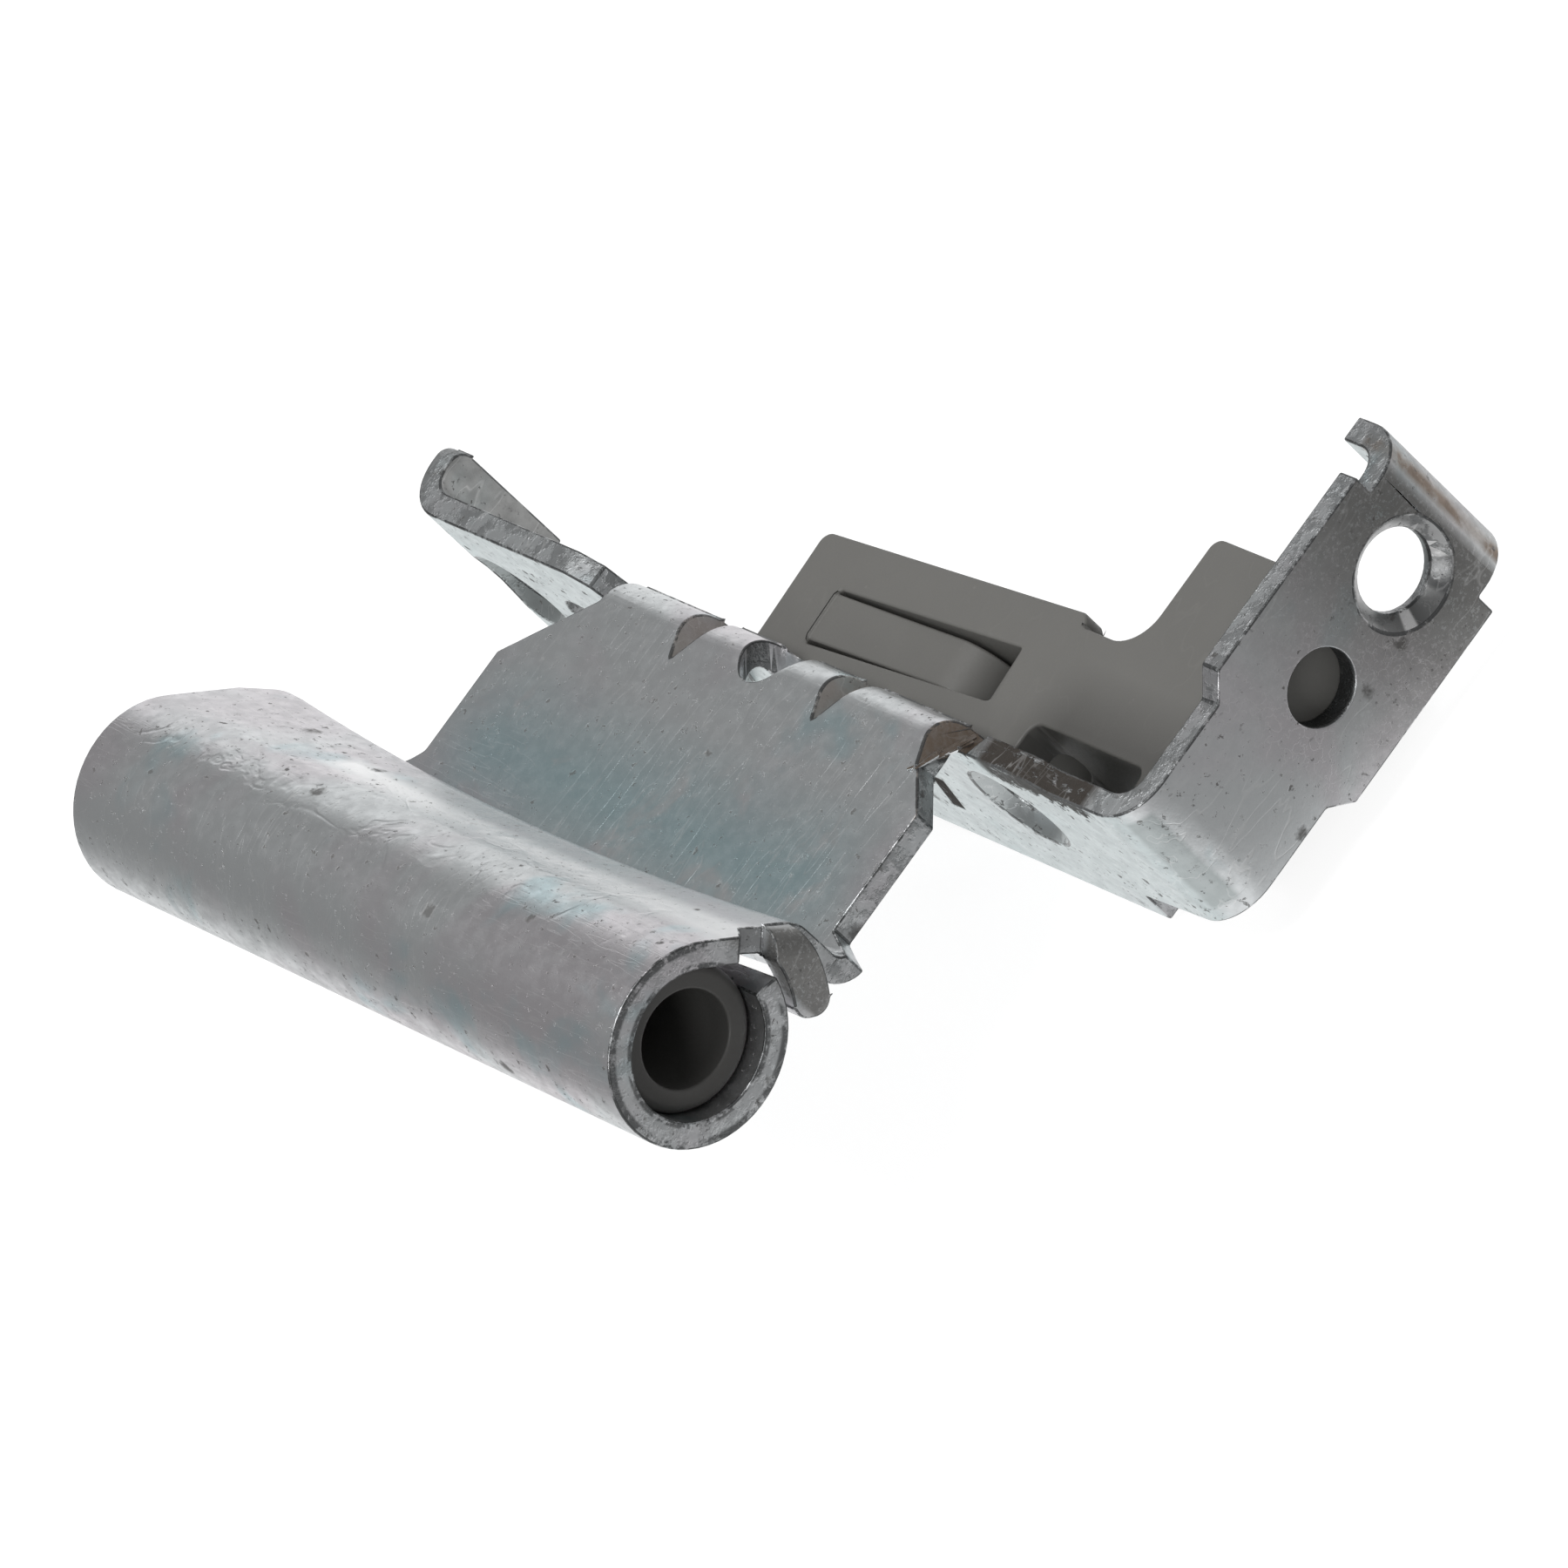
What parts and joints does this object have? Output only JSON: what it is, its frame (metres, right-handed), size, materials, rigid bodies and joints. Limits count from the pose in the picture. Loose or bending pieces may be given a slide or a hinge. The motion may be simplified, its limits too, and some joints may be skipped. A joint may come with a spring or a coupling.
{
  "type": "window corner hinge",
  "caption": "Zinc-plated sash corner hinge: a rolled barrel on a folded plate that wraps the sash corner, with a plastic pin bush and a plastic corner block.",
  "frame": {"origin": "on the pin axis, at the middle of the barrel's length", "axes": "+X along the pin towards the wing; +Y from the barrel across the leaf to the strip and the wing's tip; +Z out of the leaf's visible face"},
  "size_m": [0.0898, 0.071, 0.0355],
  "materials": {
    "zinc_plated_steel": "bright zinc plating with a faint teal and violet tint, fine scratches and dark specks",
    "grey_block_plastic": "satin moulded, warm mid grey",
    "grey_bush_plastic": "satin moulded, dark grey"
  },
  "bodies": {
    "root": {"hinge_plate": "zinc_plated_steel", "bush": "grey_bush_plastic", "corner_block": "grey_block_plastic"}
  },
  "joints": []
}
